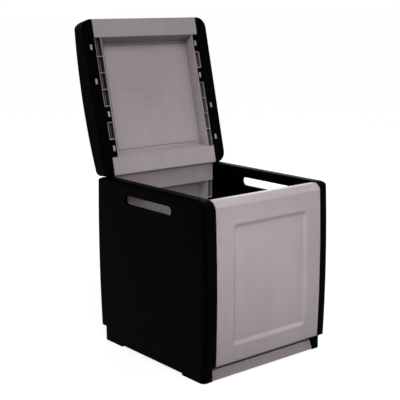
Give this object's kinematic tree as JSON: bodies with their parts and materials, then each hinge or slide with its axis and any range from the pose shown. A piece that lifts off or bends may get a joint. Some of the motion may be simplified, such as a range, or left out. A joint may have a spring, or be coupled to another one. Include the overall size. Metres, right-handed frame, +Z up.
{
  "type": "plastic storage trunk",
  "caption": "Upright plastic storage trunk with dark side panels, hand slots, pale moulded front and rear panels, and a domed lid hinged at the rear, standing open.",
  "frame": {"origin": "on the ground, under the middle of the body in width and depth, with the lid left out", "axes": "+Z up, the front panel faces -Y, +X to the right seen from the front"},
  "size_m": [0.51, 0.6644, 1.0459],
  "materials": {
    "dark_plastic": "near-black polypropylene with a fine satin grain",
    "taupe_plastic": "dove-grey taupe polypropylene, smooth and matte",
    "pin_plastic": "black nylon, smooth"
  },
  "bodies": {
    "trunk": {"left_side_panel": "dark_plastic", "right_side_panel": "dark_plastic", "front_panel": "taupe_plastic", "rear_panel": "taupe_plastic", "floor_panel": "taupe_plastic", "front_plinth": "taupe_plastic", "rear_plinth": "taupe_plastic"},
    "lid": {"lid_panel": "taupe_plastic", "left_lid_cap": "dark_plastic", "right_lid_cap": "dark_plastic", "left_hinge_pin": "pin_plastic", "right_hinge_pin": "pin_plastic"}
  },
  "joints": [
    {"name": "lid_hinge", "type": "hinge", "parent": "trunk", "child": "lid", "pos_m": [0, 0.229, 0.5554], "axis": [1, 0, 0], "range_deg": [0, 103]}
  ]
}
